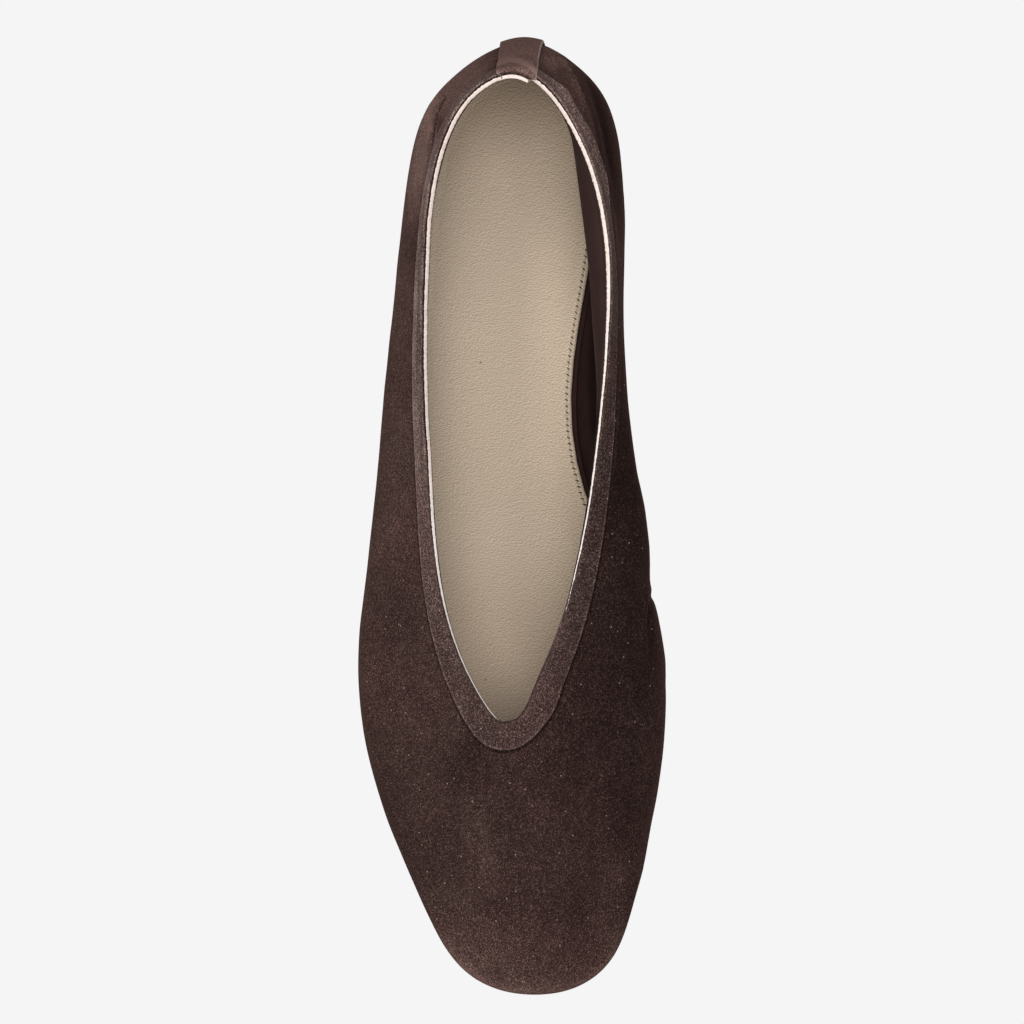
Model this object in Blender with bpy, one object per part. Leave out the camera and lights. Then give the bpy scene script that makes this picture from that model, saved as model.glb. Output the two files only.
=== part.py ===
"""A woman's flat slipper for the right foot: V-throat suede upper, raised topline band, heel tab, insole,
thin leather outsole and low heel.

The script works in millimetres and turns them into metres when a mesh is made. "along" runs from the back of
the heel to the toe tip, "side" is positive towards the inner (medial) side of the foot, and "height" is above
the floor. In the scene the toe points to -Y, the medial side to +X, and the shoe stands on z = 0.
"""

import math
from collections import namedtuple

import bmesh
import bpy
import numpy as np
from mathutils import Matrix, Vector
from mathutils.bvhtree import BVHTree

MM = 0.001

# Driving dimensions
LENGTH = 250.0
HEEL_HEIGHT = 8.0
SOLE_THICKNESS = 3.0
TOE_SPRING = 6.0
HEEL_TOP = 58.0
WALL = 1.6
INSOLE_THICKNESS = 2.0
GAP = 0.3

# Sole, insole and heel
HEEL_SEAT_END = 56.0
TREAD_START = 146.0
TREAD_END = 188.0
SOLE_TOE_END = 247.0
SOLE_MARGIN = 0.8
SOLE_EDGE_ROUND = 0.7
HEEL_BREAST = 51.0
HEEL_INSET = 1.4
HEEL_TAPER = 1.0
HEEL_STATIONS = 14
INSOLE_INSET = 2.4
INSOLE_EDGE_ROUND = 0.5

# Topline band. Its widths are in a table below.
BAND_THICKNESS = 0.8
BAND_STEPS = 4
BAND_DROP = 0.2
BAND_LIFT = 0.4
MARCH_STEP = 0.4

# Heel tab: a strip up the back of the heel that narrows, leans and folds over the topline
TAB_FOOT_WIDTH = 11.0
TAB_FOOT_SIDE = 3.4
TAB_RIM_WIDTH = 9.4
TAB_RIM_SIDE = 1.2
TAB_THICKNESS = 0.9
TAB_FOOT = 1.6
TAB_CLEARANCE = 0.4
TAB_STEPS_UP = 15
TAB_STEPS_ACROSS = 6
TAB_STEPS_OVER = 5
TAB_EASE = 4.5
TAB_FOLD_RISE = 0.9
TAB_TURN_IN = 2.0

# Mesh density: columns round half the shoe, and rows up the wall
REAR_COLUMNS = 32
FRONT_COLUMNS = 18
WALL_ROWS = 12
BAND_FINER = 2
FINER = 3
MERGE = 0.01

# How far behind the throat the wall still curves over as the vamp does, and how far each wall's curve is led
# on past the topline, as a share of its last span
VAMP_BLEND = 60.0
STRAIGHT_ON = 0.6

# How far the columns near the throat fan out below the topline, from 0 (none) to 1
THROAT_FAN = 0.45

# The topline's bend round the back of the heel ends at this station
HEEL_BEND_END = -0.7
THROAT = 178.7

# A line runs round the shoe at one level and has round ends. "turn" is where it passes the throat's column.
Line = namedtuple("Line", "heel_end turn toe_end heel_side toe_side rows")
Station = namedtuple("Station", "along lateral medial height")
CrestPoint = namedtuple("CrestPoint", "along side height")
BandWidth = namedtuple("BandWidth", "along lateral medial")

# Feather line: where the upper meets the sole. Its height comes from the sole's profile.
FEATHER = Line(5.5, 182.0, 245.5, 3.0, 6.2, [
    Station(10.0, -8.0, 13.0, None),
    Station(20.0, -17.4, 20.8, None),
    Station(36.0, -22.6, 24.2, None),
    Station(59.0, -25.0, 22.8, None),
    Station(79.0, -26.8, 19.4, None),
    Station(97.0, -28.6, 18.0, None),
    Station(110.0, -30.0, 19.4, None),
    Station(122.0, -31.2, 22.9, None),
    Station(136.0, -33.0, 28.8, None),
    Station(150.0, -34.6, 33.6, None),
    Station(165.0, -35.6, 36.4, None),
    Station(182.0, -34.4, 37.0, None),
    Station(204.0, -29.0, 33.8, None),
    Station(225.0, -19.9, 28.6, None),
    Station(239.0, -10.4, 21.6, None),
])

# Low line: the counter's bulge at the heel and the fullest line of the forefoot.
LOW = Line(1.2, 184.0, 250.0, 3.3, 6.2, [
    Station(6.3, -9.7, 15.7, 24.0),
    Station(16.0, -20.4, 24.6, 23.0),
    Station(32.0, -26.3, 28.6, 22.0),
    Station(55.0, -29.1, 28.9, 20.5),
    Station(79.0, -31.6, 26.4, 19.0),
    Station(97.0, -33.6, 24.8, 17.5),
    Station(118.0, -35.4, 27.6, 15.5),
    Station(142.0, -38.2, 35.2, 13.0),
    Station(165.0, -40.2, 40.1, 11.5),
    Station(181.0, -38.9, 40.2, 11.5),
    Station(204.0, -32.9, 36.9, 12.0),
    Station(228.0, -22.6, 31.2, 12.8),
    Station(243.5, -12.8, 23.8, 13.8),
])

# Mid line: the collar's roll at the heel, the fullness over the arch, and the shoulder of the vamp.
MID = Line(4.0, 182.0, 246.5, 2.9, 6.0, [
    Station(8.0, -7.4, 12.2, 42.0),
    Station(16.0, -16.4, 18.8, 41.0),
    Station(32.0, -23.0, 24.0, 38.5),
    Station(55.0, -26.9, 27.9, 35.0),
    Station(79.0, -28.8, 28.7, 32.0),
    Station(97.0, -30.1, 30.1, 30.0),
    Station(118.0, -31.2, 33.4, 28.5),
    Station(142.0, -32.2, 35.0, 27.2),
    Station(165.0, -31.8, 33.9, 26.2),
    Station(190.0, -27.4, 30.8, 24.8),
    Station(215.0, -19.0, 26.0, 22.6),
    Station(234.0, -10.2, 19.8, 20.8),
])

# Topline: the cut edge of the opening, ending in the V of the throat.
TOPLINE = Line(9.6, THROAT, THROAT, 2.4, -2.2, [
    Station(16.0, -11.4, 11.5, 57.0),
    Station(24.0, -16.4, 16.8, 55.0),
    Station(32.0, -19.2, 20.4, 52.4),
    Station(47.5, -22.2, 24.3, 48.0),
    Station(63.0, -22.9, 25.6, 45.0),
    Station(87.0, -23.0, 24.6, 42.6),
    Station(118.0, -21.7, 20.9, 41.9),
    Station(142.0, -19.0, 16.1, 41.9),
    Station(157.0, -15.3, 10.9, 41.8),
    Station(170.0, -9.4, 4.8, 41.4),
])

# Width of the topline band, measured down the wall. It is widest at the tip of the throat.
BAND_WIDTHS = [
    BandWidth(10.0, 5.0, 5.0),
    BandWidth(70.0, 4.6, 5.2),
    BandWidth(120.0, 5.0, 5.5),
    BandWidth(150.0, 5.3, 6.1),
    BandWidth(163.0, 6.2, 6.7),
    BandWidth(THROAT, 7.5, 7.5),
]

# Crest of the vamp, from the throat to where it runs out at the toe.
CREST = [
    CrestPoint(THROAT, -2.2, 40.7),
    CrestPoint(187.0, -1.2, 39.4),
    CrestPoint(196.0, -0.1, 37.5),
    CrestPoint(212.0, 2.2, 33.3),
    CrestPoint(225.0, 4.2, 29.4),
    CrestPoint(235.0, 5.4, 25.8),
]

# Colours (linear) and roughness of the finishes
SUEDE = ("dark_brown_suede", (0.047, 0.027, 0.024), 0.95)
BAND_SUEDE = ("brushed_band_suede", (0.068, 0.045, 0.040), 0.95)
INSOLE_LEATHER = ("beige_insole_leather", (0.48, 0.39, 0.285), 0.55)
SOLE_LEATHER = ("tan_sole_leather", (0.30, 0.18, 0.10), 0.5)
HEEL_STACK = ("dark_heel_stack", (0.055, 0.034, 0.026), 0.5)


def natural_spline(knots, values):
    """The natural cubic spline through values (numbers or points) at knots, straight on past its ends."""
    knots, values = np.asarray(knots, float), np.asarray(values, float)
    last = len(knots) - 1
    step = np.diff(knots)
    slope = (np.diff(values, axis=0).T / step).T
    system, right = np.eye(last + 1), np.zeros_like(values)
    for i in range(1, last):
        system[i, i - 1:i + 2] = step[i - 1], 2 * (step[i - 1] + step[i]), step[i]
        right[i] = 6 * (slope[i] - slope[i - 1])
    bend = np.linalg.solve(system, right)
    first_slope = slope[0] - step[0] * bend[1] / 6
    last_slope = slope[-1] + step[-1] * bend[-2] / 6

    def at(place):
        if place <= knots[0]:
            return values[0] + (place - knots[0]) * first_slope
        if place >= knots[-1]:
            return values[-1] + (place - knots[-1]) * last_slope
        i = int(np.searchsorted(knots, place)) - 1
        past, left = place - knots[i], knots[i + 1] - place
        near = values[i] / step[i] - bend[i] * step[i] / 6
        far = values[i + 1] / step[i] - bend[i + 1] * step[i] / 6
        return (bend[i] * left**3 + bend[i + 1] * past**3) / (6 * step[i]) + near * left + far * past

    return at


def smooth_step(share):
    share = min(max(share, 0.0), 1.0)
    return share * share * (3 - 2 * share)


def sole_bottom(along):
    """Height of the outsole's underside: heel seat, arch, flat tread and toe spring."""
    drop = smooth_step((along - HEEL_SEAT_END) / (TREAD_START - HEEL_SEAT_END))
    spring = max(along - TREAD_END, 0.0) / (SOLE_TOE_END - TREAD_END)
    return HEEL_HEIGHT * (1 - drop) + TOE_SPRING * spring**2


def sole_top(along):
    return sole_bottom(along) + SOLE_THICKNESS


def share_along(line, along):
    return (along - line.heel_end) / (line.toe_end - line.heel_end)


def turn_angle(line, along):
    """0 at the line's heel end and pi at its toe end: a fullness times its sine closes in a round end."""
    return math.acos(1 - 2 * min(max(share_along(line, along), 0.0), 1.0))


def axis_side(line, along):
    return line.heel_side + (line.toe_side - line.heel_side) * share_along(line, along)


def side_of_line(line, column):
    """The function from along to side, for the "lateral" or the "medial" column of a line."""
    angles = [turn_angle(line, row.along) for row in line.rows]
    widths = [getattr(row, column) - axis_side(line, row.along) for row in line.rows]
    fullness = natural_spline(angles, [width / math.sin(angle) for width, angle in zip(widths, angles)])

    def side(along):
        angle = turn_angle(line, along)
        return axis_side(line, along) + fullness(angle) * math.sin(angle)

    return side


def height_of_line(line, ends=()):
    rows = [(row.along, row.height) for row in line.rows] + list(ends)
    return natural_spline(*zip(*sorted(rows)))


LINES = {"feather": FEATHER, "low": LOW, "mid": MID, "top": TOPLINE}
SIDES = {(name, side): side_of_line(line, side)
         for name, line in LINES.items() for side in ("lateral", "medial")}
HEIGHTS = {
    "feather": lambda along: sole_top(along) + GAP,
    "low": height_of_line(LOW),
    "mid": height_of_line(MID),
    "top": height_of_line(TOPLINE, [(TOPLINE.heel_end, HEEL_TOP), (THROAT, CREST[0].height)]),
}
CREST_LINE = natural_spline([point.along for point in CREST], [point[1:] for point in CREST])
BAND_PLACES = [row.along for row in BAND_WIDTHS]
BAND_WIDTH = {side: natural_spline(BAND_PLACES, [getattr(row, side) for row in BAND_WIDTHS])
              for side in ("lateral", "medial")}


def along_line(name, station):
    """How far along a line a column is. Its station is -1 at the heel, 0 at the throat and 1 at the toe."""
    line = LINES[name]
    if station <= 0:
        share = (1 + math.cos(math.pi * station)) / 2
        if name != "top":
            even = 1 - math.cos(math.pi / 2 * (1 + station))
            share += (even - share) * THROAT_FAN * smooth_step(1 + 2 * station)
        return line.heel_end + (line.turn - line.heel_end) * share
    toe_end = CREST[-1].along if name == "top" else line.toe_end
    return line.turn + (toe_end - line.turn) * math.sin(math.pi / 2 * station)


def point_on_line(name, station, side):
    along = along_line(name, station)
    if name == "top" and station >= 0:
        crest_side, crest_height = CREST_LINE(along)
        return np.array((crest_side, along, crest_height))
    return np.array((SIDES[name, side](along), along, HEIGHTS[name](along)))


def wall_curve(station, side):
    """The upper's outer face at one column, from the feather line (0) to the topline or crest (1)."""
    points = [point_on_line(name, station, side) for name in ("feather", "low", "mid", "top")]
    mid, top = points[2:]
    straight_on = top + (top - mid) * STRAIGHT_ON
    over_the_vamp = 2 * top - mid
    across = (top[0] - mid[0])**2 / ((top[0] - mid[0])**2 + (top[1] - mid[1])**2)
    crest_height = CREST_LINE(over_the_vamp[1])[1]
    over_the_vamp[2] = crest_height + (mid[2] - crest_height) * across
    vamp_share = 1 - smooth_step((THROAT - top[1]) / VAMP_BLEND)
    points.append(straight_on + (over_the_vamp - straight_on) * vamp_share)
    chords = np.linalg.norm(np.diff(points, axis=0), axis=1)
    knots = np.concatenate([[0], np.cumsum(np.sqrt(chords))])
    return natural_spline(knots / knots[3], points)


def half_stations(finer=1):
    rear, front = REAR_COLUMNS * finer, FRONT_COLUMNS * finer
    return [i / rear - 1 for i in range(rear)] + [i / front for i in range(front + 1)]


def once_round(stations):
    """(station, side) from the heel along the lateral side to the last station, then back on the medial."""
    lateral = [(station, "lateral") for station in stations]
    return lateral + [(station, "medial") for station in stations[-2:0:-1]]


def wall_grid(finer=1):
    rows = WALL_ROWS * finer
    grid = []
    for station, side in once_round(half_stations(finer)):
        curve = wall_curve(station, side)
        grid.append([curve(i / rows) for i in range(rows + 1)])
    return grid


def in_scene(point):
    """A point (side, along, height) in millimetres as a place in the scene."""
    return Vector((point[0], LENGTH / 2 - point[1], point[2])) * MM


def finish(name, colour, roughness):
    made = bpy.data.materials.new(name)
    made.use_nodes = True
    shader = made.node_tree.nodes["Principled BSDF"]
    shader.inputs["Base Color"].default_value = (*colour, 1.0)
    shader.inputs["Roughness"].default_value = roughness
    shader.inputs["Metallic"].default_value = 0.0
    return made


def add_object(name, shape, material):
    bmesh.ops.remove_doubles(shape, verts=shape.verts, dist=MERGE * MM)
    bmesh.ops.dissolve_degenerate(shape, edges=shape.edges, dist=MERGE * MM)
    mesh = bpy.data.meshes.new(name)
    shape.to_mesh(mesh)
    shape.free()
    mesh.materials.append(finish(*material))
    mesh.shade_smooth()
    made = bpy.data.objects.new(name, mesh)
    bpy.context.scene.collection.objects.link(made)
    return made


def sheet(name, columns, closed, material, thickness, offset):
    """A sheet from columns of scene points that run up the wall, each column anticlockwise of the last.
    Solidify then grows it inwards (offset -1) or outwards (offset 1)."""
    shape = bmesh.new()
    columns = [[shape.verts.new(point) for point in column] for column in columns]
    following = columns[1:] + columns[:1] if closed else columns[1:]
    for column, after in zip(columns, following):
        for i in range(len(column) - 1):
            shape.faces.new((column[i], after[i], after[i + 1], column[i + 1]))
    made = add_object(name, shape, material)
    wall = made.modifiers.new("Thickness", "SOLIDIFY")
    wall.thickness = thickness * MM
    wall.offset = offset
    return made


def stack(name, loops, material):
    """A solid from a stack of like loops, lowest first. Each starts at the heel and comes back to it."""
    shape = bmesh.new()
    loops = [[shape.verts.new(in_scene(point)) for point in loop] for loop in loops]
    count = len(loops[0])
    for lower, upper in zip(loops, loops[1:]):
        for i in range(count):
            j = (i + 1) % count
            shape.faces.new((lower[i], lower[j], upper[j], upper[i]))
    for loop in (loops[0], loops[-1]):
        rungs = [(loop[i], loop[-i]) for i in range(1, (count + 1) // 2)]
        shape.faces.new((loop[0], *rungs[0]))
        for (near_left, near_right), (far_left, far_right) in zip(rungs, rungs[1:]):
            shape.faces.new((near_left, far_left, far_right, near_right))
        if count % 2 == 0:
            shape.faces.new((*rungs[-1], loop[count // 2]))
    bmesh.ops.recalc_face_normals(shape, faces=shape.faces)
    return add_object(name, shape, material)


def inset_plan(points, distance):
    """A closed plan outline, anticlockwise from above, moved inwards by a distance."""
    points = np.asarray(points, float)
    run = np.roll(points, -1, axis=0) - np.roll(points, 1, axis=0)
    inwards = np.stack([run[:, 1], -run[:, 0]], axis=1)
    return points + distance * inwards / np.linalg.norm(inwards, axis=1)[:, None]


def feather_outline(inset):
    outline = [(SIDES["feather", side](along), along)
               for station, side in once_round(half_stations())
               for along in [along_line("feather", station)]]
    return inset_plan(outline, inset)


def heel_outline(inset):
    """The heel's D: the feather line from the breast round the back, cut straight across at the breast."""
    reach = HEEL_BREAST - FEATHER.heel_end
    half = [FEATHER.heel_end + reach * (1 - math.cos(math.pi / 2 * i / HEEL_STATIONS))
            for i in range(HEEL_STATIONS + 1)]
    outline = [(SIDES["feather", "lateral"](along), along) for along in half]
    outline += [(SIDES["feather", "medial"](along), along) for along in half[:0:-1]]
    moved = inset_plan(outline, inset)
    moved[HEEL_STATIONS:HEEL_STATIONS + 2, 1] = HEEL_BREAST
    return moved


def at_height(outline, height):
    return [(side, along, height(along)) for side, along in outline]


def make_upper():
    columns = [[in_scene(point) for point in column] for column in wall_grid()]
    return sheet("upper", columns, True, SUEDE, WALL, -1)


def outer_face():
    """A finer copy of the upper's outer face, for laying other pieces on it."""
    grid = wall_grid(FINER)
    rows = len(grid[0])
    points = [in_scene(point) for column in grid for point in column]
    faces = []
    for c in range(len(grid)):
        here, after = c * rows, (c + 1) % len(grid) * rows
        faces += [(here + i, after + i, after + i + 1, here + i + 1) for i in range(rows - 1)]
    return BVHTree.FromPolygons(points, faces)


def walk_down(face, start, direction, distances):
    """Points and normals on the face at these distances (in millimetres) from start, walking straight on."""
    place, normal, _, _ = face.find_nearest(start)
    found, gone = [], 0.0
    for distance in distances:
        while gone < distance:
            step = min(MARCH_STEP, distance - gone)
            direction = (direction - normal * direction.dot(normal)).normalized()
            place, normal, _, _ = face.find_nearest(place + direction * step * MM)
            gone += step
        found.append((place.copy(), normal.copy()))
    return found


def make_topline_band(face):
    """The raised band outside the topline, laid on the upper's face across the edge's own direction."""
    rear = [station for station in half_stations(BAND_FINER) if station <= 0]
    places = once_round(rear)
    edge = [in_scene(point_on_line("top", station, side)) for station, side in places]
    columns = []
    for i, (start, (station, side)) in enumerate(zip(edge, places)):
        run = edge[(i + 1) % len(edge)] - edge[i - 1]
        normal = face.find_nearest(start)[1]
        width = BAND_WIDTH[side](along_line("top", station))
        distances = [BAND_DROP + (width - BAND_DROP) * k / BAND_STEPS for k in range(BAND_STEPS + 1)]
        walked = walk_down(face, start, run.cross(normal).normalized(), distances)
        columns.append([place + normal * BAND_LIFT * MM for place, normal in reversed(walked)])
    return sheet("topline_band", columns, True, BAND_SUEDE, BAND_THICKNESS, 1)


def heel_edge_at(side):
    """The topline's point at the back of the heel with this side."""
    near_heel = [station for station in half_stations(FINER) if station < HEEL_BEND_END]
    points = [point_on_line("top", station, name) for station, name in once_round(near_heel)]
    points.sort(key=lambda point: point[0])
    sides, alongs, heights = zip(*points)
    return side, np.interp(side, sides, alongs), np.interp(side, sides, heights)


def tab_column(face, across):
    """The tab's inner face at one place across it (-0.5 to 0.5): up the heel, over the topline and in."""
    outer = BAND_LIFT + BAND_THICKNESS + TAB_CLEARANCE
    inner = -(WALL + TAB_CLEARANCE)
    rim = in_scene(heel_edge_at(TAB_RIM_SIDE + TAB_RIM_WIDTH * across))
    foot = Vector((TAB_FOOT_SIDE + TAB_FOOT_WIDTH * across, 0.0, sole_top(0) + TAB_FOOT)) * MM
    behind = LENGTH * MM
    column = []
    for i in range(TAB_STEPS_UP + 1):
        side, _, height = foot.lerp(rim, i / TAB_STEPS_UP)
        from_behind = Vector((side, behind, min(height, rim.z - GAP * MM)))
        place, normal, _, _ = face.ray_cast(from_behind, Vector((0, -1, 0)))
        below_band = (rim.z - height) / MM - BAND_WIDTHS[0].lateral
        clear = GAP + (outer - GAP) * smooth_step(1 - below_band / TAB_EASE)
        column.append(place + normal * clear * MM)
    upwards = (rim - place).normalized()
    middle, half = (outer + inner) / 2, (outer - inner) / 2
    for i in range(1, TAB_STEPS_OVER + 1):
        turn = math.pi * i / TAB_STEPS_OVER
        out, rise = middle + half * math.cos(turn), TAB_FOLD_RISE * math.sin(turn)
        column.append(rim + (normal * out + upwards * rise) * MM)
    column.append(rim + (normal * inner - upwards * TAB_TURN_IN) * MM)
    return column


def make_heel_tab(face):
    columns = [tab_column(face, 0.5 - i / TAB_STEPS_ACROSS) for i in range(TAB_STEPS_ACROSS + 1)]
    return sheet("heel_tab", columns, False, SUEDE, TAB_THICKNESS, 1)


def make_insole():
    edge, inner = feather_outline(INSOLE_INSET), feather_outline(INSOLE_INSET + INSOLE_EDGE_ROUND)
    rest = [lambda along, rise=rise: sole_top(along) + GAP + rise
            for rise in (0, INSOLE_THICKNESS - INSOLE_EDGE_ROUND, INSOLE_THICKNESS)]
    loops = [at_height(edge, rest[0]), at_height(edge, rest[1]), at_height(inner, rest[2])]
    return stack("insole", loops, INSOLE_LEATHER)


def make_outsole():
    edge, inner = feather_outline(-SOLE_MARGIN), feather_outline(SOLE_EDGE_ROUND - SOLE_MARGIN)
    loops = [
        at_height(inner, sole_bottom),
        at_height(edge, lambda along: sole_bottom(along) + SOLE_EDGE_ROUND),
        at_height(edge, lambda along: sole_top(along) - SOLE_EDGE_ROUND),
        at_height(inner, sole_top),
    ]
    return stack("outsole", loops, SOLE_LEATHER)


def make_heel():
    foot, top = heel_outline(HEEL_INSET + HEEL_TAPER), heel_outline(HEEL_INSET)
    loops = [at_height(foot, lambda along: 0.0), at_height(top, lambda along: HEEL_HEIGHT - GAP)]
    return stack("heel", loops, HEEL_STACK)


def centre(pieces):
    """Move the meshes so that the middle of the whole shoe's bounding box is at x = y = 0."""
    seen = bpy.context.evaluated_depsgraph_get()
    corners = np.array([corner[:] for piece in pieces for corner in piece.evaluated_get(seen).bound_box])
    middle = (corners.min(axis=0) + corners.max(axis=0)) / 2
    for piece in pieces:
        piece.data.transform(Matrix.Translation((-middle[0], -middle[1], 0.0)))


def main():
    for old in list(bpy.data.objects):
        bpy.data.objects.remove(old)
    face = outer_face()
    centre([
        make_upper(),
        make_topline_band(face),
        make_heel_tab(face),
        make_insole(),
        make_outsole(),
        make_heel(),
    ])


main()
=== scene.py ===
import math

import bmesh
import bpy
import numpy as np
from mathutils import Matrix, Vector, noise
from mathutils.bvhtree import BVHTree
from mathutils.kdtree import KDTree


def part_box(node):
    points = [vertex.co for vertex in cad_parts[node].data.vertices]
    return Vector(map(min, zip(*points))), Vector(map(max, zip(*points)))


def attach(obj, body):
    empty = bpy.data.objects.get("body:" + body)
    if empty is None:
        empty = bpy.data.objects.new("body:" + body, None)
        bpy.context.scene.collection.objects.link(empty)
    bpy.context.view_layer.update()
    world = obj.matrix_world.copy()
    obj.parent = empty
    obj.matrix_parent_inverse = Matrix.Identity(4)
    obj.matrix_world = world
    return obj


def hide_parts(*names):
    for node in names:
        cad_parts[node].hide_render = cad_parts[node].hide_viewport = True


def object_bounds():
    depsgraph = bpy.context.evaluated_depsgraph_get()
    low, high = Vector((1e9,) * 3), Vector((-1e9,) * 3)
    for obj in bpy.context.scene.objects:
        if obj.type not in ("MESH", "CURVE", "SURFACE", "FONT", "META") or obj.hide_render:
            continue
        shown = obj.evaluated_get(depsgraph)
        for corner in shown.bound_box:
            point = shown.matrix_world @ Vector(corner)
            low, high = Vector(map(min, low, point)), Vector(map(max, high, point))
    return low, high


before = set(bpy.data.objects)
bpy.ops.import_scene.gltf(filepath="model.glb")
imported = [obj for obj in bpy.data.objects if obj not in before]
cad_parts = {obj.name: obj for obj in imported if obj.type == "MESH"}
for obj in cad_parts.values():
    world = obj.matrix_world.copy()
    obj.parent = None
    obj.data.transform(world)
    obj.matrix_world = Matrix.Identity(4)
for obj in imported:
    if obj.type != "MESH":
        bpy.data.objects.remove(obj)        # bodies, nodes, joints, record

mm = 0.001
cadLow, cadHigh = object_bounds()
heelBack = cadHigh.y     # the shoe's length runs from here towards -Y


# Small helpers

copySizes = {"merge": 0.005 * mm, "faceAngle": math.radians(50), "shapeAngle": math.radians(60)}
roundFrom = math.radians(35)        # edges sharper than this are rounded


def makeActive(piece):
    if bpy.context.object and bpy.context.object.mode != "OBJECT":
        bpy.ops.object.mode_set(mode="OBJECT")
    bpy.ops.object.select_all(action="DESELECT")
    piece.select_set(True)
    bpy.context.view_layer.objects.active = piece


def newObject(name, data):
    added = bpy.data.objects.new(name, data)
    bpy.context.scene.collection.objects.link(added)
    return added


def copyOfNode(node, name, *materials):
    # a copy of a CAD node's mesh, merged and turned back into quads
    piece = newObject(name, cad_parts[node].data.copy())
    piece.data.name = name
    piece.data.materials.clear()
    for material in materials:
        piece.data.materials.append(material)
    makeActive(piece)
    if piece.data.has_custom_normals:
        bpy.ops.mesh.customdata_custom_splitnormals_clear()
    bpy.ops.object.mode_set(mode="EDIT")
    bpy.ops.mesh.select_all(action="SELECT")
    bpy.ops.mesh.remove_doubles(threshold=copySizes["merge"])
    bpy.ops.mesh.tris_convert_to_quads(face_threshold=copySizes["faceAngle"],
                                       shape_threshold=copySizes["shapeAngle"])
    bpy.ops.object.mode_set(mode="OBJECT")
    return piece


def applyModifier(piece, kind, **settings):
    makeActive(piece)
    modifier = piece.modifiers.new(kind.title(), kind)
    for key, value in settings.items():
        setattr(modifier, key, value)
    bpy.ops.object.modifier_apply(modifier=modifier.name)


def subdivide(piece, levels):
    applyModifier(piece, "SUBSURF", levels=levels, render_levels=levels)


def roundEdges(piece, width, segments):
    applyModifier(piece, "BEVEL", width=width, segments=segments, limit_method="ANGLE",
                  angle_limit=roundFrom)


def finishPiece(piece, slot, *nodes):
    makeActive(piece)
    bpy.ops.object.shade_smooth()
    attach(piece, "root")
    if nodes:
        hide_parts(*nodes)
    print("made", piece.name, len(piece.data.polygons), "faces")


def points(piece):
    flat = np.empty(len(piece.data.vertices) * 3)
    piece.data.vertices.foreach_get("co", flat)
    return flat.reshape(-1, 3)


def setPoints(piece, places):
    piece.data.vertices.foreach_set("co", np.asarray(places, float).ravel())
    piece.data.update()


def alongOf(places):
    # how far along the shoe each place is from the back of its heel, in millimetres
    return (heelBack - places[:, 1]) / mm


def planPoint(side, along):
    # millimetres from the shoe's middle line and from the back of its heel
    return Vector((side * mm, heelBack - along * mm, 0.0))


def searchTree(places):
    tree = KDTree(len(places))
    for i, place in enumerate(places):
        tree.insert(place, i)
    tree.balance()
    return tree


def noiseAt(places, scale, start=(0, 0, 0)):
    return np.array([noise.noise(Vector(place) * scale + Vector(start)) for place in places])


def smoothStep(share):
    share = np.clip(share, 0.0, 1.0)
    return share * share * (3 - 2 * share)


def rising(values, low, high, by=1.0):
    # nothing at low and the full amount at high, with a soft change between them
    return by * smoothStep((values - low) / (high - low))


def openShape(piece):
    shape = bmesh.new()
    shape.from_mesh(piece.data)
    shape.faces.ensure_lookup_table()
    return shape


def closeShape(shape, piece):
    shape.to_mesh(piece.data)
    shape.free()


def regionsAtSharpEdges(piece, angle):
    # faces in groups that meet only at edges sharper than this, the largest group first
    shape = openShape(piece)
    unseen = set(range(len(shape.faces)))
    groups = []
    while unseen:
        front = [unseen.pop()]
        group = list(front)
        while front:
            face = shape.faces[front.pop()]
            for edge in face.edges:
                if len(edge.link_faces) == 2 and edge.calc_face_angle() < angle:
                    for other in edge.link_faces:
                        if other.index in unseen:
                            unseen.remove(other.index)
                            front.append(other.index)
                            group.append(other.index)
        groups.append(group)
    area = [face.calc_area() for face in shape.faces]
    shape.free()
    return sorted(groups, key=lambda group: -sum(area[i] for i in group))


def creaseGroups(piece, groups, strength):
    # numbers groups of faces by material index, and keeps the edges between them crisp under subdivision
    for k, group in enumerate(groups):
        for i in group:
            piece.data.polygons[i].material_index = k
    shape = openShape(piece)
    layer = shape.edges.layers.float.get("crease_edge") or shape.edges.layers.float.new("crease_edge")
    for edge in shape.edges:
        if len({face.material_index for face in edge.link_faces}) > 1:
            edge[layer] = strength
    closeShape(shape, piece)


def smoothLine(corners, count):
    # a Catmull-Rom curve through a few corners
    corners = [Vector(corner) for corner in corners]
    ends = [2 * corners[0] - corners[1]] + corners + [2 * corners[-1] - corners[-2]]
    line = []
    for i in range(count):
        place = i / (count - 1) * (len(corners) - 1)
        j = min(int(place), len(corners) - 2)
        t = place - j
        a, b, c, d = ends[j:j + 4]
        line.append(0.5 * (2 * b + (c - a) * t + (2 * a - 5 * b + 4 * c - d) * t**2
                           + (3 * b - a - 3 * c + d) * t**3))
    return line


def paint(piece, name, values):
    layers = piece.data.attributes
    layer = layers.get(name) or layers.new(name, "FLOAT", "POINT")
    layer.data.foreach_set("value", np.asarray(values, np.float32))


def painted(piece, name):
    values = np.empty(len(piece.data.vertices), np.float32)
    piece.data.attributes[name].data.foreach_get("value", values)
    return values


# Materials

def setSockets(node, values):
    # links what comes from another node, and sets the rest
    for socket, value in values.items():
        if isinstance(value, bpy.types.NodeSocket):
            node.id_data.links.new(value, node.inputs[socket])
        else:
            node.inputs[socket].default_value = value


def nodeOf(kind, values, tree=None, **settings):
    # a node in the tree that is given, or else in the tree of the values that come from other nodes
    sockets = [value for value in values.values() if isinstance(value, bpy.types.NodeSocket)]
    tree = tree or sockets[0].id_data
    node = tree.nodes.new("ShaderNode" + kind)
    for name, value in settings.items():
        setattr(node, name, value)
    setSockets(node, values)
    return node


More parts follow.
